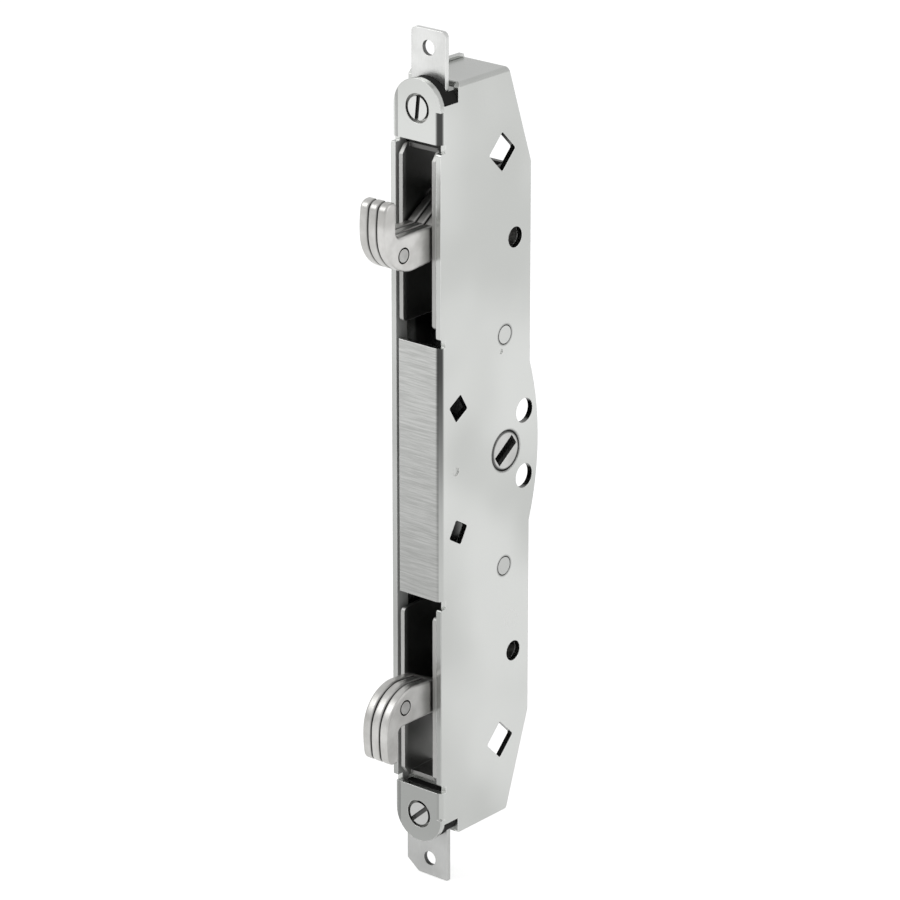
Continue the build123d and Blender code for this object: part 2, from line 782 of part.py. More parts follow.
def build():
    os.makedirs("parts", exist_ok=True)
    save("case_shell", case_shell())
    save("case_cover", case_cover())
    save("hub", hub())
    rivet = case_rivet()
    post = handle_post()
    plates = {
        "left": hook_plate(-stack_half, -centre_half, True),
        "centre": hook_plate(-centre_half, centre_half, False),
        "right": hook_plate(centre_half, stack_half, True),
    }
    for (end, sign), place, turn in zip(sides, hub_pin_places(), (upper_slot_turn, -lower_slot_turn)):
        save(f"{end}_hook_housing", flip(hook_housing(sign), sign))
        save(f"{end}_case_rivet", flip(rivet, sign))
        save(f"{end}_handle_post", flip(post, sign))
        save(f"{end}_end_block", flip(end_block(sign), sign))
        save(f"{end}_pivot_pin", flip(pivot_pin(), sign))
        save(f"{end}_pivot_washers", *[flip(washer, sign) for washer in pivot_washers()])
        for side, plate in plates.items():
            save(f"{end}_hook_{side}_plate", flip(plate, sign))
        save(f"{end}_hook_rivets", *[flip(pin, sign) for pin in hook_rivets()])
        save(f"{end}_crank_pin", flip(crank_pin(), sign))
        save(f"{end}_drive_bar", flip(drive_bar(sign), sign))
        save(f"hub_{end}_pin", hub_pin(place))
        save(f"{end}_adjusting_screw", flip(adjusting_screw(turn), sign))
        save(f"{end}_mounting_tab", flip(mounting_tab(sign), sign))
    print("bar travel from the hub", round(bar_travel, 4), "and from the crank", round(crank_check, 4))


build()
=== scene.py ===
import json
import math

import bpy
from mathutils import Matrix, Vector


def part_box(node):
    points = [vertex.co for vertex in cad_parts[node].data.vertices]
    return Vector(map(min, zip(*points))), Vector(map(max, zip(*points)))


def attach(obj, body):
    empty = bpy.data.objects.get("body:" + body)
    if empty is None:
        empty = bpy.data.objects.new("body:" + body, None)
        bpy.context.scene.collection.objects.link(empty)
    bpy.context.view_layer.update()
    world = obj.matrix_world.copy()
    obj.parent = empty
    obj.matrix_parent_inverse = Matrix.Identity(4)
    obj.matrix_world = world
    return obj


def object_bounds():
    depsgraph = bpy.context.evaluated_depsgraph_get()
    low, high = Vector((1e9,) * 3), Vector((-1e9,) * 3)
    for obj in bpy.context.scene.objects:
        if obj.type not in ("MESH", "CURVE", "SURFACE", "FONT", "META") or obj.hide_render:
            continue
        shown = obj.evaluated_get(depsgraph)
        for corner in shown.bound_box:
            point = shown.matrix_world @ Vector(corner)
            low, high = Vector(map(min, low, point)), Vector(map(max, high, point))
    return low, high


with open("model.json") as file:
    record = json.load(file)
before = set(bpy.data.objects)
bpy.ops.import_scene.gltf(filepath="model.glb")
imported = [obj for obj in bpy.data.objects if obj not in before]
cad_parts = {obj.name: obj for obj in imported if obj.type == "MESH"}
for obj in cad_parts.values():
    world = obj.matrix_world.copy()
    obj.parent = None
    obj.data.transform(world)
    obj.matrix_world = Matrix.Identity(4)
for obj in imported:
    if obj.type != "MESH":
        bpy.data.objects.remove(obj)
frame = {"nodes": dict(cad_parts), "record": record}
cad_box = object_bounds()

MM = 0.001

# Camera, from the photograph: lengths in metres, lens and sensor in mm, angles in degrees
CAMERA_AZIMUTH = 40.05
CAMERA_ELEVATION = 20.57
CAMERA_DISTANCE = 1.380
CAMERA_LENS = 181.0
CAMERA_SENSOR = 36.0
TARGET_RIGHT = 0.00976
TARGET_UP = 0.0065

# Light: each lamp's name, place, side and power in watts
LAMPS = (
    ("key", (-0.9, -1.1, 1.2), 1.0, 7),
    ("fill", (1.3, 0.3, 0.7), 1.2, 4),
)
WORLD_STRENGTH = 0.55

# How white the world is in reflections, where the camera sees it fully white
REFLECTED_WHITE = 0.8

# The floor, and how much of the background's white it adds for the camera and reflections
FLOOR_SIZE = 6.0
FLOOR_GAP = 0.4 * MM
FLOOR_GREY = 0.86
FLOOR_LIFT = 0.62

# Places on the lock; depths are counted from the front web's face and heights from the hub
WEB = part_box("case_shell")[0].y
PLATE_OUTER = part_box("case_shell")[1].x
PLATE_INNER = PLATE_OUTER - 1.9 * MM
COVER_INNER = -8.5 * MM
WEB_LEFT = -7.45 * MM
WEB_HALF = 41.2 * MM
HUB_DEPTH = 31.1 * MM
RIVET_DEPTH = 30.4 * MM
RIVET_HEIGHT = 38.1 * MM
TAB_FACE = WEB + 5.2 * MM
TAB_HOLE_HEIGHT = 132.4 * MM
TAB_HOLE_RADIUS = 2.4 * MM
FLANGE_TOP = 121.0 * MM
END_HEIGHT = 110 * MM

# A skin that reaches just past a face, so that a limit takes the whole face in
SKIN = 0.05 * MM

# Where the open rear lets light into the case
REAR_START = 26 * MM
REAR_END = 40 * MM

# Grain and noise
EDGE_ROUNDING = 0.32 * MM
BEVEL_SAMPLES = 6
EDGE_TURN = 0.85
SMUDGE_SIZE = 46 * MM
SMALL_SMUDGE = 8 * MM
GRAIN_SIZE = 0.35 * MM
GRAIN_DEPTH = 0.012 * MM
GRAIN_CONTRAST_SHARE = 0.16
GRAIN_BASE_SHARE = 0.92
NOISE_DETAIL = 3.0
NOISE_ROUGHNESS = 0.5
CLOUD_DETAIL = 4.0
GRAIN_DETAIL = 2.0
CLOUD_SPAN = (0.3, 0.7)
SHEET_STRETCH = (1, 1, 6)
HOOK_STRETCH = (1, 5, 5)
# The painted highlight along edges, as a share of the lighter tone
EDGE_HIGHLIGHT_SHARE = 1.15
STEEL_ROUGHNESS_SPREAD = 0.14

# Liner: bright front edges, and painted shade on the faces behind them, the lower one less dark below
# the hook
LINER_TONES = ((0.36, 0.36, 0.35), (0.46, 0.46, 0.45))
LINER_ROUGHNESS = 0.42
LINER_SHADE_LOW = -96 * MM
LINER_SHADE_HIGH = -88 * MM
LINER_LOW_SHARE = 0.62
LINER_HIGH_SHARE = 0.34
LINER_EDGE_START = 0.4 * MM
LINER_EDGE_END = 2.2 * MM
LINER_REAR_SHARE = 0.75

# Hooks: painted shade in the seams between the plates and inside the case
HOOK_TONES = ((0.47, 0.465, 0.45), (0.62, 0.615, 0.60))
HOOK_ROUGHNESS = 0.36
PLATE_SEAM = 1.725 * MM
SEAM_CORE = 0.10 * MM
SEAM_REACH = 0.55 * MM
SEAM_SHADE_SHARE = 0.16
HOOK_INSIDE_START = 1 * MM
HOOK_INSIDE_END = 9 * MM
HOOK_INSIDE_SHARE = 0.45
SIDE_TURN = 0.7
LOWER_SIDE_SHADE_SHARE = 0.28
WORKS_REAR_SHARE = 0.8

# Hub and bars: painted shade inside the case, and darker in the joint round the hub
DRIVE_TONES = ((0.46, 0.46, 0.45), (0.56, 0.56, 0.55))
DRIVE_ROUGHNESS = 0.38
DRIVE_FADE = 0.8 * MM
DRIVE_INSIDE_SHADE_SHARE = 0.30
HUB_RIM = 6.0 * MM
HUB_RIM_WIDTH = 0.6 * MM
HUB_RIM_SHARE = 0.22

# Tabs, with painted shade on the hole walls and on the lower tab
TAB_TONES = ((0.64, 0.645, 0.635), (0.74, 0.745, 0.735))
TAB_ROUGHNESS = 0.34
TAB_SMUDGE = 10 * MM
TAB_WALL_START = 0.2 * MM
TAB_WALL_SHADE_SHARE = 0.8
LOWER_TAB_SHADE_SHARE = 0.64
HOLE_MARGIN = 0.2 * MM

# Case: satin sheet, with the middle of the front brushed across
SATIN_TONES = ((0.49, 0.50, 0.485), (0.61, 0.62, 0.605))
SATIN_SPAN = (0.32, 0.66)
SATIN_DETAIL = 1.5
CASE_STRETCH = (1, 1, 8)
BRUSH_TONES = ((0.35, 0.355, 0.345), (0.47, 0.475, 0.465))
BRUSH_SPAN = (0.3, 0.72)
BRUSH_SIZE = 0.5 * MM
BRUSH_STRETCH = (20, 24, 0.8)
BRUSH_ROUGHNESS = 0.65
# Painted shade on the brushed web: darker towards the bottom, lighter towards the top
BRUSH_SHADE_HEIGHT = 40 * MM
BRUSH_SHADE_SHARES = (0.90, 1.08)
FRONT_SKIN = 0.3 * MM
# Painted shade on the front, darker towards the bottom
FRONT_SHADE_BOTTOM = -60 * MM
FRONT_SHADE_SHARE = 0.34
# A painted highlight on the case's edges
CASE_EDGE_HIGHLIGHT = (0.80, 0.80, 0.79)
CASE_EDGE_HIGHLIGHT_SHARE = 0.8
CASE_RELIEF = 0.009 * MM
CASE_GRAIN_SHARE = 0.35
CASE_ROUGHNESS = 0.20
CASE_ROUGHNESS_SPREAD = 0.10

# The left seam beside the web is raw edge and shows little metal
SEAM_STRIP_DEPTH = 5.0 * MM
SEAM_METAL_LOSS_SHARE = 0.85

# Inside the case, where the walls are darkened with painted shade
INSIDE_START = 1.7 * MM
INSIDE_LEFT_DELAY = 6.0 * MM
INSIDE_FADE = 2.0 * MM
INSIDE_REAR_SHARE = 0.35
INSIDE_END_START = 100 * MM
INSIDE_END_STOP = 108 * MM
INSIDE_END_SHARE = 0.45
INSIDE_SHADE_SHARE = 0.94
HOLE_SHADE_SHARE = 0.75
HOLE_WALL_RIGHT = PLATE_OUTER - 0.2 * MM
HOLE_WALL_LEFT = COVER_INNER - 1.6 * MM

# Side holes: depth, height and radius
SIDE_HOLES = (
    (35.1 * MM, 68.25 * MM, 3.3 * MM),
    (40.0 * MM, 10.8 * MM, 4.0 * MM),
    (28.8 * MM, 96.7 * MM, 6.3 * MM),
    (8.3 * MM, 20.2 * MM, 4.5 * MM),
    (RIVET_DEPTH, RIVET_HEIGHT, 3.15 * MM),
    (HUB_DEPTH, 0.0, 6.5 * MM),
)

# Darker rings round the hub and the case rivets: depth, height, and where each starts and ends
SEAM_RINGS = (
    (HUB_DEPTH, 0.0, 6.5 * MM, 7.4 * MM),
    (RIVET_DEPTH, RIVET_HEIGHT, 3.1 * MM, 3.9 * MM),
)
RING_SHARE = 0.45

# The fold between the web and the right side plate, whose middle faces this way; a painted dark
# reflection darkens it
BEND_FACING = (0.64, -0.77, 0.0)
BEND_SPAN = (0.80, 0.97)
BEND_BOTTOM = -45 * MM
BEND_TOP = 40 * MM
BEND_REFLECTION_SHARES = (0.10, 0.90)

# Pins, rivets, posts and screws
PIN_TONES = ((0.36, 0.36, 0.35), (0.48, 0.48, 0.47))
PIN_ROUGHNESS = 0.34
PIN_EDGE_ROUNDING = 0.15 * MM
PIN_SMUDGE = 5 * MM
# A painted highlight on the pins' edges
PIN_EDGE_HIGHLIGHT = (0.68, 0.68, 0.67)
FLUSH_TONE = (0.61, 0.62, 0.605)
FLUSH_SKIN = 0.3 * MM
SCREW_HEAD_TONE = (0.66, 0.665, 0.655)
SCREW_FACE = 0.1 * MM
SCREW_SLOT_DEPTH = 1.2 * MM
# Painted shade in the screw slots and on the lower screw
SCREW_SLOT_SHADE_SHARE = 0.75
LOWER_SCREW_SHADE_SHARE = 0.72

# Screw threads
THREAD_PITCH = 0.8 * MM
THREAD_CLEARANCE = 3.3 * MM
THREAD_RUN_OUT = 0.9 * MM
THREAD_ROOT = 2.42 * MM
THREAD_SUNK = 0.10 * MM
THREAD_RISE = 0.28 * MM
THREAD_HALF_WIDTH = 0.31 * MM
THREAD_STEPS = 36

# End blocks
PLASTIC_TONES = ((0.010, 0.010, 0.010), (0.022, 0.022, 0.021))
PLASTIC_ROUGHNESS = 0.72
PLASTIC_SPECULAR = 0.12
PLASTIC_SMUDGE = 4 * MM
PLASTIC_GRAIN = 0.2 * MM
PLASTIC_RELIEF = 0.01 * MM


def camera_axes():
    """The camera's right, up and backward directions."""
    azimuth = math.radians(CAMERA_AZIMUTH)
    elevation = math.radians(CAMERA_ELEVATION)
    back = Vector((
        math.sin(azimuth) * math.cos(elevation),
        -math.cos(azimuth) * math.cos(elevation),
        math.sin(elevation),
    ))
    right = Vector((math.cos(azimuth), math.sin(azimuth), 0))
    return right, back.cross(right), back


def add_camera():
    right, up, back = camera_axes()
    camera = bpy.data.cameras.new("camera")
    camera.lens = CAMERA_LENS
    camera.sensor_width = CAMERA_SENSOR
    holder = bpy.data.objects.new("camera", camera)
    centre = Vector((0, WEB, 0)) + right * TARGET_RIGHT + up * TARGET_UP
    holder.location = centre + back * CAMERA_DISTANCE
    holder.rotation_euler = (-back).to_track_quat("-Z", "Y").to_euler()
    bpy.context.scene.collection.objects.link(holder)
    bpy.context.scene.camera = holder


# Light


def add_lamp(name, place, side, power):
    """A square lamp that faces the middle of the lock."""
    lamp = bpy.data.lights.new(name, "AREA")
    lamp.shape = "RECTANGLE"
    lamp.size = side
    lamp.size_y = side
    lamp.energy = power
    holder = bpy.data.objects.new(name, lamp)
    holder.location = place
    holder.rotation_euler = (-Vector(place)).to_track_quat("-Z", "Y").to_euler()
    bpy.context.scene.collection.objects.link(holder)


def add_math(nodes, links, operation, *values):
    """A math node fed with sockets or plain numbers."""
    node = nodes.new("ShaderNodeMath")
    node.operation = operation
    for value, socket in zip(values, node.inputs):
        if isinstance(value, bpy.types.NodeSocket):
            links.new(value, socket)
        else:
            socket.default_value = value
    return node.outputs[0]


def seen_rays(nodes, links):
    """1 for camera rays, and 1 for camera, glossy and transmission rays."""
    path = nodes.new("ShaderNodeLightPath")
    camera = path.outputs["Is Camera Ray"]
    seen = add_math(nodes, links, "MAXIMUM", camera, path.outputs["Is Glossy Ray"])
    seen = add_math(nodes, links, "MAXIMUM", seen, path.outputs["Is Transmission Ray"])
    return camera, seen


def add_world():
    """Plain grey light, seen as white by the camera and in reflections."""
    world = bpy.data.worlds.new("studio")
    bpy.context.scene.world = world
    world.use_nodes = True
    nodes, links = world.node_tree.nodes, world.node_tree.links
    nodes.clear()
    camera, seen = seen_rays(nodes, links)
    dim = nodes.new("ShaderNodeBackground")
    dim.inputs["Strength"].default_value = WORLD_STRENGTH
    white = nodes.new("ShaderNodeBackground")
    white.inputs["Strength"].default_value = 1
    tone = add_math(nodes, links, "MULTIPLY_ADD", camera, 1 - REFLECTED_WHITE, REFLECTED_WHITE)
    links.new(tone, white.inputs["Color"])
    mix = nodes.new("ShaderNodeMixShader")
    output = nodes.new("ShaderNodeOutputWorld")
    links.new(seen, mix.inputs[0])
    links.new(dim.outputs[0], mix.inputs[1])
    links.new(white.outputs[0], mix.inputs[2])
    links.new(mix.outputs[0], output.inputs[0])


def floor_material():
    material = bpy.data.materials.new("floor")
    material.use_nodes = True
    nodes, links = material.node_tree.nodes, material.node_tree.links
    nodes.clear()
    matte = nodes.new("ShaderNodeBsdfDiffuse")
    matte.inputs["Color"].default_value = (FLOOR_GREY, FLOOR_GREY, FLOOR_GREY, 1)
    lift = nodes.new("ShaderNodeEmission")
    _, seen = seen_rays(nodes, links)
    strength = add_math(nodes, links, "MULTIPLY", seen, FLOOR_LIFT)
    links.new(strength, lift.inputs["Strength"])
    both = nodes.new("ShaderNodeAddShader")
    links.new(matte.outputs[0], both.inputs[0])
    links.new(lift.outputs[0], both.inputs[1])
    output = nodes.new("ShaderNodeOutputMaterial")
    links.new(both.outputs[0], output.inputs[0])
    return material


def add_floor():
    """A matte floor that the camera and reflections see as the white background, shadows kept."""
    place = (0, 0, cad_box[0][2] - FLOOR_GAP)
    bpy.ops.mesh.primitive_plane_add(size=FLOOR_SIZE, location=place)
    floor = bpy.context.object
    floor.name = "floor"
    floor.data.materials.append(floor_material())


# Materials


class Finish:
    """A material's node tree, with short calls for the nodes that the finishes share."""

    def __init__(self, name, metallic):
        self.material = bpy.data.materials.new(name)
        self.material.use_nodes = True
        self.nodes = self.material.node_tree.nodes
        self.links = self.material.node_tree.links
        self.nodes.clear()
        self.shader = self.nodes.new("ShaderNodeBsdfPrincipled")
        self.shader.inputs["Metallic"].default_value = metallic
        output = self.nodes.new("ShaderNodeOutputMaterial")
        self.links.new(self.shader.outputs[0], output.inputs[0])
        coordinates = self.nodes.new("ShaderNodeTexCoord")
        self.place = coordinates.outputs["Object"]
        self.facing = coordinates.outputs["Normal"]
        self.normal = None

    def join(self, value, socket):
        if isinstance(value, bpy.types.NodeSocket):
            self.links.new(value, socket)
        else:
            socket.default_value = value

    def noise(self, size, stretch=(1, 1, 1), detail=NOISE_DETAIL, rough=NOISE_ROUGHNESS):
        """Noise whose blobs are about one size across, drawn out along the larger stretches."""
        mapping = self.nodes.new("ShaderNodeMapping")
        mapping.inputs["Scale"].default_value = [1 / (size * share) for share in stretch]
        self.links.new(self.place, mapping.inputs["Vector"])
        texture = self.nodes.new("ShaderNodeTexNoise")
        texture.inputs["Scale"].default_value = 1
        texture.inputs["Detail"].default_value = detail
        texture.inputs["Roughness"].default_value = rough
        self.links.new(mapping.outputs[0], texture.inputs["Vector"])
        return texture.outputs["Fac"]

    def math(self, operation, *values):
        return add_math(self.nodes, self.links, operation, *values)

    def below(self, value, limit):
        """1 where a value is under a limit, and 0 elsewhere."""
        return self.math("LESS_THAN", value, limit)

    def above(self, value, limit):
        """1 where a value is over a limit, and 0 elsewhere."""
        return self.math("GREATER_THAN", value, limit)

    def size(self, value):
        return self.math("ABSOLUTE", value)

    def minus(self, first, second):
        return self.math("SUBTRACT", first, second)

    def times(self, first, *others):
        """The product of all the values."""
        for other in others:
            first = self.math("MULTIPLY", first, other)
        return first

    def without(self, *values):
        """1 less the product of all the values: a mask and what it takes away."""
        return self.minus(1, self.times(*values))

    def span(self, value, low, high, to_low=0.0, to_high=1.0):
        """A value mapped from one range to another, smoothly and clamped."""
        node = self.nodes.new("ShaderNodeMapRange")
        node.interpolation_type = "SMOOTHSTEP"
        ends = {"From Min": low, "From Max": high, "To Min": to_low, "To Max": to_high}
        for key, number in ends.items():
            self.join(number, node.inputs[key])
        self.join(value, node.inputs["Value"])
        return node.outputs["Result"]

    def mix(self, factor, first, second):
        """Two colours mixed by a factor."""
        node = self.nodes.new("ShaderNodeMix")
        node.data_type = "RGBA"
        self.join(factor, node.inputs["Factor"])
        for colour, key in ((first, 6), (second, 7)):
            value = colour if isinstance(colour, bpy.types.NodeSocket) else (*colour, 1)
            self.join(value, node.inputs[key])
        return node.outputs[2]

    def blend(self, factor, first, second):
        """Two numbers mixed by a factor."""
        node = self.nodes.new("ShaderNodeMix")
        self.join(factor, node.inputs["Factor"])
        self.join(first, node.inputs[2])
        self.join(second, node.inputs[3])
        return node.outputs[0]

    def parts(self, vector):
        node = self.nodes.new("ShaderNodeSeparateXYZ")
        self.links.new(vector, node.inputs[0])
        return node.outputs

    def dot(self, first, second):
        node = self.nodes.new("ShaderNodeVectorMath")
        node.operation = "DOT_PRODUCT"
        self.join(first, node.inputs[0])
        self.join(second, node.inputs[1])
        return node.outputs["Value"]

    def scaled(self, colour, factor):
        """A colour made lighter or darker by a factor."""
        node = self.nodes.new("ShaderNodeVectorMath")
        node.operation = "SCALE"
        self.join(colour, node.inputs[0])
        self.join(factor, node.inputs["Scale"])
        return node.outputs[0]

    def distance(self, first, second):
        """The length of a flat vector from its two parts."""
        squared = self.times(second, second)
        return self.math("SQRT", self.math("MULTIPLY_ADD", first, first, squared))

    def round_edges(self, radius=EDGE_ROUNDING):
        """Soften sharp edges, and return how near each point is to one."""
        bevel = self.nodes.new("ShaderNodeBevel")
        bevel.samples = BEVEL_SAMPLES
        bevel.inputs["Radius"].default_value = radius
        self.normal = bevel.outputs[0]
        flat = self.nodes.new("ShaderNodeNewGeometry").outputs["Normal"]
        return self.span(self.dot(bevel.outputs[0], flat), 1, EDGE_TURN)

    def open_rear(self, shade, y, rear_shade):
        """A shade that gets lighter towards the case's open rear, where light comes in."""
        lighter = self.span(y, WEB + REAR_START, WEB + REAR_END, 0, rear_shade)
        return self.math("MAXIMUM", shade, lighter)

    def near_holes(self, y, height):
        """1 inside any of the side plates' holes, and 0 elsewhere."""
        found = 0
        for depth, rise, radius in SIDE_HOLES:
            across = self.minus(y, WEB + depth)
            along = self.minus(height, rise)
            within = self.below(self.distance(across, along), radius + HOLE_MARGIN)
            found = self.math("MAXIMUM", found, within)
        return found

    def bump(self, height, distance):
        node = self.nodes.new("ShaderNodeBump")
        node.inputs["Distance"].default_value = distance
        node.inputs["Strength"].default_value = 1
        self.join(height, node.inputs["Height"])
        self.links.new(self.normal, node.inputs["Normal"])
        self.normal = node.outputs[0]

    def done(self, colour, roughness):
        self.join(colour, self.shader.inputs["Base Color"])
        self.join(roughness, self.shader.inputs["Roughness"])
        self.links.new(self.normal, self.shader.inputs["Normal"])
        return self.material


def steel(name, tones, roughness, shading, smudge=SMALL_SMUDGE, stretch=SHEET_STRETCH):
    """Satin sheet steel: cloudy tone, fine drawn grain and a painted highlight along the edges."""
    finish = Finish(name, 1)
    edge = finish.round_edges()
    cloud = finish.noise(smudge, detail=CLOUD_DETAIL)
    fine = finish.noise(GRAIN_SIZE, stretch, detail=GRAIN_DETAIL)
    tone = finish.mix(finish.span(cloud, *CLOUD_SPAN), *tones)
    level = finish.math("MULTIPLY_ADD", fine, GRAIN_CONTRAST_SHARE, GRAIN_BASE_SHARE)
    # Edges are painted lighter: a painted highlight
    painted_edge_highlight = [min(1, value * EDGE_HIGHLIGHT_SHARE) for value in tones[1]]
    colour = finish.mix(edge, finish.scaled(tone, level), painted_edge_highlight)
    colour = finish.scaled(colour, shading(finish))
    finish.bump(fine, GRAIN_DEPTH)
    smoothest = roughness - STEEL_ROUGHNESS_SPREAD / 2
    rough = finish.math("MULTIPLY_ADD", fine, STEEL_ROUGHNESS_SPREAD, smoothest)
    return finish.done(colour, rough)


def liner_shade(finish):
    """Painted shade: the liner's front edges stay bright and the faces behind them are darkened."""
    _, y, z = finish.parts(finish.place)
    painted_shade = finish.span(z, LINER_SHADE_LOW, LINER_SHADE_HIGH, LINER_LOW_SHARE, LINER_HIGH_SHARE)
    shade = finish.span(y, WEB + LINER_EDGE_START, WEB + LINER_EDGE_END, 1, painted_shade)
    return finish.open_rear(shade, y, LINER_REAR_SHARE)


def hook_shade(finish):
    """Painted shade in the seams of a hook, on its part inside the case, and on the lower hook's sides.
    """
    x, y, z = finish.parts(finish.place)
    seam = finish.size(finish.minus(finish.size(x), PLATE_SEAM))
    painted_seam_shade = finish.span(seam, SEAM_CORE, SEAM_REACH, SEAM_SHADE_SHARE, 1)
    inside = finish.span(y, WEB + HOOK_INSIDE_START, WEB + HOOK_INSIDE_END, 1, HOOK_INSIDE_SHARE)
    inside = finish.open_rear(inside, y, WORKS_REAR_SHARE)
    side = finish.above(finish.size(finish.parts(finish.facing)[0]), SIDE_TURN)
    lower = finish.below(z, 0)
    return finish.times(painted_seam_shade, inside, finish.without(side, lower, LOWER_SIDE_SHADE_SHARE))


def drive_shade(finish):
    """Painted shade on the hub's and bars' faces inside the case; the joint round the hub is darker
    too.
    """
    x, y, z = finish.parts(finish.place)
    inside = finish.span(finish.size(x), PLATE_INNER, PLATE_INNER + DRIVE_FADE, DRIVE_INSIDE_SHADE_SHARE, 1)
    inside = finish.open_rear(inside, y, WORKS_REAR_SHARE)
    radius = finish.distance(finish.minus(y, WEB + HUB_DEPTH), z)
    rim = finish.span(radius, HUB_RIM - HUB_RIM_WIDTH, HUB_RIM, 1, HUB_RIM_SHARE)
    return finish.times(inside, rim)


def tab_shade(finish):
    """Painted shade: the tabs' hole walls are darker, and the lower tab a little darker than the upper.
    """
    x, y, z = finish.parts(finish.place)
    rise = finish.minus(finish.size(z), TAB_HOLE_HEIGHT)
    hole = finish.below(finish.distance(x, rise), TAB_HOLE_RADIUS + HOLE_MARGIN)
    behind = finish.above(y, TAB_FACE + TAB_WALL_START)
    level = finish.span(z, -END_HEIGHT, END_HEIGHT, LOWER_TAB_SHADE_SHARE, 1)
    return finish.times(level, finish.without(hole, behind, TAB_WALL_SHADE_SHARE))


def case_sheet(finish, edge, cloud, brush, front, brushed):
    """The plates' satin and the web's brushed tone, with painted shade towards the bottom and a painted
    highlight on the edges.
    """
    _, _, z = finish.parts(finish.place)
    satin = finish.mix(finish.span(cloud, *SATIN_SPAN), *SATIN_TONES)
    streak = finish.mix(finish.span(brush, *BRUSH_SPAN), *BRUSH_TONES)
    shade = finish.span(z, -BRUSH_SHADE_HEIGHT, BRUSH_SHADE_HEIGHT, *BRUSH_SHADE_SHARES)
    colour = finish.mix(brushed, satin, finish.scaled(streak, shade))
    front_shade = finish.span(z, FRONT_SHADE_BOTTOM, END_HEIGHT, FRONT_SHADE_SHARE, 0)
    level = finish.math("MAXIMUM", finish.without(front, front_shade), brushed)
    return finish.mix(finish.times(edge, CASE_EDGE_HIGHLIGHT_SHARE), finish.scaled(colour, level), CASE_EDGE_HIGHLIGHT)


def case_dark(finish):
    """How much painted shade darkens the hole walls and the faces inside the case."""
    x, y, z = finish.parts(finish.place)
    height = finish.size(z)
    walls = finish.times(finish.below(x, HOLE_WALL_RIGHT), finish.above(x, HOLE_WALL_LEFT))
    holes = finish.times(finish.near_holes(y, height), walls)
    within = finish.times(finish.below(x, PLATE_INNER + SKIN), finish.above(x, COVER_INNER - SKIN))
    start = finish.math("MULTIPLY_ADD", finish.below(x, 0), INSIDE_LEFT_DELAY, WEB + INSIDE_START)
    depth = finish.span(finish.minus(y, start), 0, INSIDE_FADE)
    rear = finish.span(y, WEB + REAR_START, WEB + REAR_END, 1, INSIDE_REAR_SHARE)
    ends = finish.span(height, INSIDE_END_START, INSIDE_END_STOP, 1, INSIDE_END_SHARE)
    within = finish.times(within, ends, depth, rear, finish.below(height, FLANGE_TOP))
    holes = finish.times(holes, HOLE_SHADE_SHARE)
    return finish.math("MAXIMUM", holes, finish.times(within, INSIDE_SHADE_SHARE))


def case_bend(finish):
    """How much a painted dark reflection darkens the polished fold beside the web, more so towards the
    top.
    """
    x, _, z = finish.parts(finish.place)
    turned = finish.span(finish.dot(finish.facing, BEND_FACING), *BEND_SPAN)
    painted_reflection = finish.span(z, BEND_BOTTOM, BEND_TOP, *BEND_REFLECTION_SHARES)
    return finish.times(turned, finish.above(x, 0), painted_reflection)


def case_rings(finish, colour):
    """A colour made darker round the hub and the case rivets."""
    _, y, z = finish.parts(finish.place)
    height = finish.size(z)
    for depth, rise, low, high in SEAM_RINGS:
        apart = finish.distance(finish.minus(y, WEB + depth), finish.minus(height, rise))
        colour = finish.scaled(colour, finish.span(apart, low, high, RING_SHARE, 1))
    return colour


def case_steel():
    """The case's sheet: satin plates, with the middle of the front brushed across."""
    finish = Finish("case_steel", 1)
    edge = finish.round_edges()
    x, y, z = finish.parts(finish.place)
    cloud = finish.noise(SMUDGE_SIZE, detail=SATIN_DETAIL)
    fine = finish.noise(GRAIN_SIZE, CASE_STRETCH, detail=GRAIN_DETAIL)
    brush = finish.noise(BRUSH_SIZE, BRUSH_STRETCH, rough=BRUSH_ROUGHNESS)
    front = finish.below(y, WEB + FRONT_SKIN)
    middle = finish.below(finish.size(z), WEB_HALF)
    brushed = finish.times(front, middle, finish.above(x, WEB_LEFT))
    colour = case_sheet(finish, edge, cloud, brush, front, brushed)
    # Painted shade on the hole walls and inside the case
    colour = finish.scaled(colour, finish.without(case_dark(finish)))
    # A painted dark reflection on the fold beside the web
    colour = finish.scaled(colour, finish.without(case_bend(finish)))
    colour = case_rings(finish, colour)
    relief = finish.blend(brushed, finish.times(fine, CASE_GRAIN_SHARE), brush)
    finish.bump(relief, CASE_RELIEF)
    strip = finish.times(finish.above(x, COVER_INNER - SKIN), finish.below(x, WEB_LEFT))
    strip = finish.times(strip, finish.below(y, WEB + SEAM_STRIP_DEPTH))
    finish.join(finish.without(strip, SEAM_METAL_LOSS_SHARE), finish.shader.inputs["Metallic"])
    rough = finish.math("MULTIPLY_ADD", cloud, CASE_ROUGHNESS_SPREAD, CASE_ROUGHNESS)
    return finish.done(colour, rough)


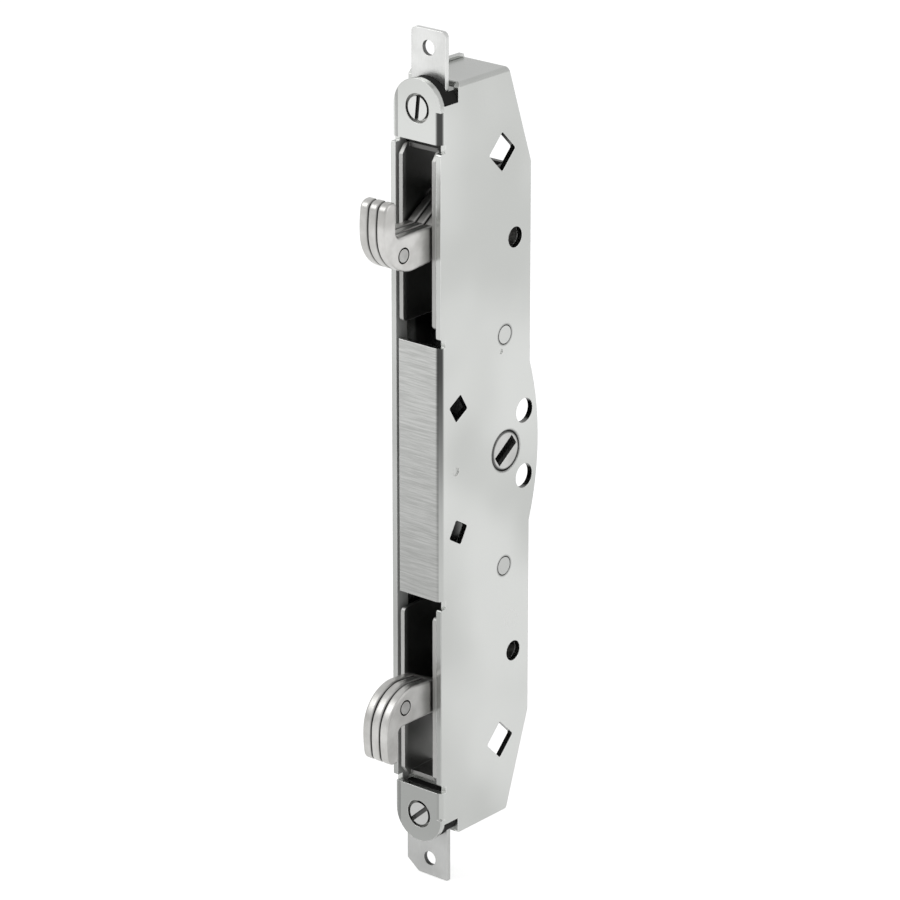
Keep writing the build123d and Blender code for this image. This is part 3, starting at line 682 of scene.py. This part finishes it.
def pin_steel():
    """Turned steel: rivets, pins, posts and the adjusting screws with their threads; painted highlight
    on edges, painted shade in the slots and on the lower screw.
    """
    finish = Finish("pin_steel", 1)
    edge = finish.round_edges(PIN_EDGE_ROUNDING)
    x, y, z = finish.parts(finish.place)
    cloud = finish.noise(PIN_SMUDGE, detail=CLOUD_DETAIL)
    colour = finish.mix(finish.span(cloud, *CLOUD_SPAN), *PIN_TONES)
    flush = finish.above(finish.size(x), PLATE_OUTER - FLUSH_SKIN)
    colour = finish.mix(flush, colour, FLUSH_TONE)
    colour = finish.mix(edge, colour, PIN_EDGE_HIGHLIGHT)
    ends = finish.above(finish.size(z), END_HEIGHT)
    face = finish.below(y, WEB + SCREW_FACE + SKIN)
    colour = finish.mix(finish.times(face, ends), colour, SCREW_HEAD_TONE)
    slot = finish.below(y, WEB + SCREW_FACE + SCREW_SLOT_DEPTH + SKIN)
    sunk = finish.times(finish.minus(slot, face), ends)
    level = finish.span(z, -END_HEIGHT, END_HEIGHT, LOWER_SCREW_SHADE_SHARE, 1)
    level = finish.times(level, finish.without(sunk, SCREW_SLOT_SHADE_SHARE))
    return finish.done(finish.scaled(colour, level), PIN_ROUGHNESS)


def block_plastic():
    finish = Finish("block_plastic", 0)
    finish.shader.inputs["Specular IOR Level"].default_value = PLASTIC_SPECULAR
    finish.round_edges()
    grain = finish.noise(PLASTIC_GRAIN, detail=GRAIN_DETAIL)
    tone = finish.mix(finish.noise(PLASTIC_SMUDGE), *PLASTIC_TONES)
    finish.bump(grain, PLASTIC_RELIEF)
    return finish.done(tone, PLASTIC_ROUGHNESS)


def dress():
    """Give every CAD node its material, and the adjusting screws their threads."""
    finishes = {
        "case_steel": case_steel(),
        "liner_steel": steel("liner_steel", LINER_TONES, LINER_ROUGHNESS, liner_shade, SMUDGE_SIZE),
        "hook_steel": steel("hook_steel", HOOK_TONES, HOOK_ROUGHNESS, hook_shade, stretch=HOOK_STRETCH),
        "drive_steel": steel("drive_steel", DRIVE_TONES, DRIVE_ROUGHNESS, drive_shade),
        "pin_steel": pin_steel(),
        "tab_steel": steel("tab_steel", TAB_TONES, TAB_ROUGHNESS, tab_shade, TAB_SMUDGE),
        "block_plastic": block_plastic(),
    }
    for part in frame["record"]["subparts"]:
        mesh = frame["nodes"][part["node"]].data
        mesh.materials.clear()
        mesh.materials.append(finishes[part["material_slot"]])
    for end, sign in (("upper", 1), ("lower", -1)):
        thread = add_thread(end, sign)
        thread.data.materials.append(finishes["pin_steel"])


# Threads


def thread_points(start, stop, centre_z, sign, steps):
    """Three points for each step: the two feet of the ridge and its crest between them."""
    points = []
    for step in range(steps + 1):
        turn = math.tau * step / THREAD_STEPS
        y = start + (stop - start) * step / steps
        rise = THREAD_RISE * min(1, step / THREAD_STEPS, (steps - step) / THREAD_STEPS)
        crest = THREAD_ROOT + THREAD_SUNK + rise
        section = ((-THREAD_HALF_WIDTH, THREAD_ROOT), (0, crest), (THREAD_HALF_WIDTH, THREAD_ROOT))
        for offset, radius in section:
            z = centre_z + sign * radius * math.sin(turn)
            points.append((radius * math.cos(turn), y + offset, z))
    return points


def thread_faces(steps, sign):
    """Faces along the ridge's three sides, and one at each end."""
    sides = 3
    faces = []
    for step in range(steps):
        first = sides * step
        for near in range(sides):
            far = (near + 1) % sides
            faces.append((first + near, first + far, first + sides + far, first + sides + near))
    last = sides * steps
    faces.append((0, 2, 1))
    faces.append((last, last + 1, last + 2))
    if sign < 0:
        faces = [tuple(reversed(face)) for face in faces]
    return faces


def add_thread(end, sign):
    """A rolled thread on the free end of an adjusting screw, past its tab."""
    low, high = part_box(f"{end}_adjusting_screw")
    centre_z = (low.z + high.z) / 2
    start = TAB_FACE + THREAD_CLEARANCE
    stop = high.y - THREAD_RUN_OUT
    steps = int((stop - start) / THREAD_PITCH * THREAD_STEPS)
    mesh = bpy.data.meshes.new(f"{end}_screw_thread")
    points = thread_points(start, stop, centre_z, sign, steps)
    mesh.from_pydata(points, [], thread_faces(steps, sign))
    mesh.update()
    thread = bpy.data.objects.new(f"{end}_screw_thread", mesh)
    bpy.context.scene.collection.objects.link(thread)
    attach(thread, f"{end}_screw")
    return thread


bpy.context.scene.view_settings.view_transform = "Standard"
add_camera()
add_world()
add_floor()
for lamp in LAMPS:
    add_lamp(*lamp)
dress()
